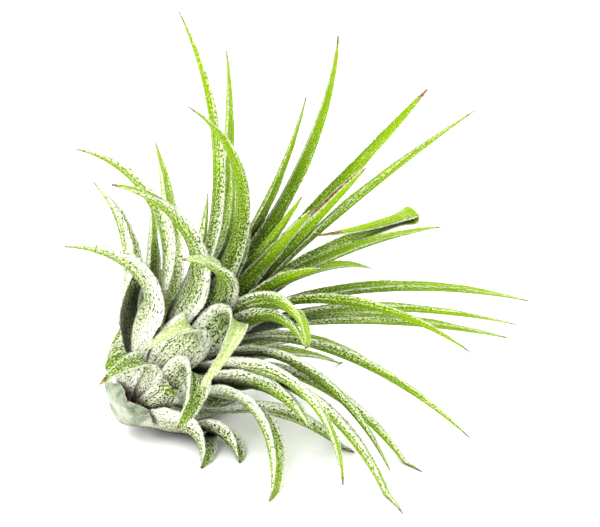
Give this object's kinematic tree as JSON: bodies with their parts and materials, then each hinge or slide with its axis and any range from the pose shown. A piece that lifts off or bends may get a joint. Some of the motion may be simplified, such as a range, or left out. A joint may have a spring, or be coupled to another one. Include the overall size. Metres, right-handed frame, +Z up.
{
  "type": "air plant",
  "caption": "Air plant lying on its side: a loose rosette of narrow channelled leaves with fine curling tips, set round a short stem.",
  "frame": {"origin": "middle of the bounding box's base, on the surface that the plant lies on", "axes": "+Z up; the stem climbs from the resting bulb towards +X and a little towards +Y; -Y is the front"},
  "size_m": [0.1078, 0.1116, 0.0936],
  "materials": {
    "stem_brown": "dry fibrous",
    "sheath_silver": "velvety, finely scaled",
    "outer_leaf_grey_green": "velvety, finely scaled",
    "middle_leaf_green": "velvety, finely scaled",
    "heart_leaf_green": "velvety, finely scaled"
  },
  "bodies": {
    "root": {"stem": "stem_brown", "base_leaf_01": "sheath_silver", "base_leaf_02": "sheath_silver", "base_leaf_03": "sheath_silver", "base_leaf_04": "sheath_silver", "base_leaf_05": "sheath_silver", "base_leaf_06": "sheath_silver", "base_leaf_07": "sheath_silver", "base_leaf_08": "sheath_silver", "base_leaf_09": "sheath_silver", "base_leaf_10": "sheath_silver", "outer_leaf_01": "sheath_silver", "outer_leaf_02": "outer_leaf_grey_green", "outer_leaf_03": "outer_leaf_grey_green", "outer_leaf_04": "outer_leaf_grey_green", "outer_leaf_05": "outer_leaf_grey_green", "outer_leaf_06": "outer_leaf_grey_green", "outer_leaf_07": "outer_leaf_grey_green", "outer_leaf_08": "outer_leaf_grey_green", "outer_leaf_09": "outer_leaf_grey_green", "outer_leaf_10": "outer_leaf_grey_green", "outer_leaf_11": "outer_leaf_grey_green", "outer_leaf_12": "outer_leaf_grey_green", "outer_leaf_13": "outer_leaf_grey_green", "outer_leaf_14": "outer_leaf_grey_green", "outer_leaf_15": "outer_leaf_grey_green", "outer_leaf_16": "outer_leaf_grey_green", "outer_leaf_17": "outer_leaf_grey_green", "outer_leaf_18": "outer_leaf_grey_green", "outer_leaf_19": "outer_leaf_grey_green", "middle_leaf_01": "middle_leaf_green", "middle_leaf_02": "middle_leaf_green", "middle_leaf_03": "middle_leaf_green", "middle_leaf_04": "middle_leaf_green", "middle_leaf_05": "middle_leaf_green", "middle_leaf_06": "middle_leaf_green", "middle_leaf_07": "middle_leaf_green", "middle_leaf_08": "middle_leaf_green", "middle_leaf_09": "middle_leaf_green", "middle_leaf_10": "middle_leaf_green", "middle_leaf_11": "middle_leaf_green", "middle_leaf_12": "middle_leaf_green", "middle_leaf_13": "middle_leaf_green", "middle_leaf_14": "middle_leaf_green", "middle_leaf_15": "middle_leaf_green", "middle_leaf_16": "middle_leaf_green", "middle_leaf_17": "middle_leaf_green", "middle_leaf_18": "middle_leaf_green", "middle_leaf_19": "middle_leaf_green", "middle_leaf_20": "middle_leaf_green", "heart_leaf_01": "heart_leaf_green", "heart_leaf_02": "heart_leaf_green", "heart_leaf_03": "heart_leaf_green", "heart_leaf_04": "heart_leaf_green", "heart_leaf_05": "heart_leaf_green", "heart_leaf_06": "heart_leaf_green", "heart_leaf_07": "heart_leaf_green", "heart_leaf_08": "heart_leaf_green", "heart_leaf_09": "heart_leaf_green", "heart_leaf_10": "heart_leaf_green"}
  },
  "joints": []
}
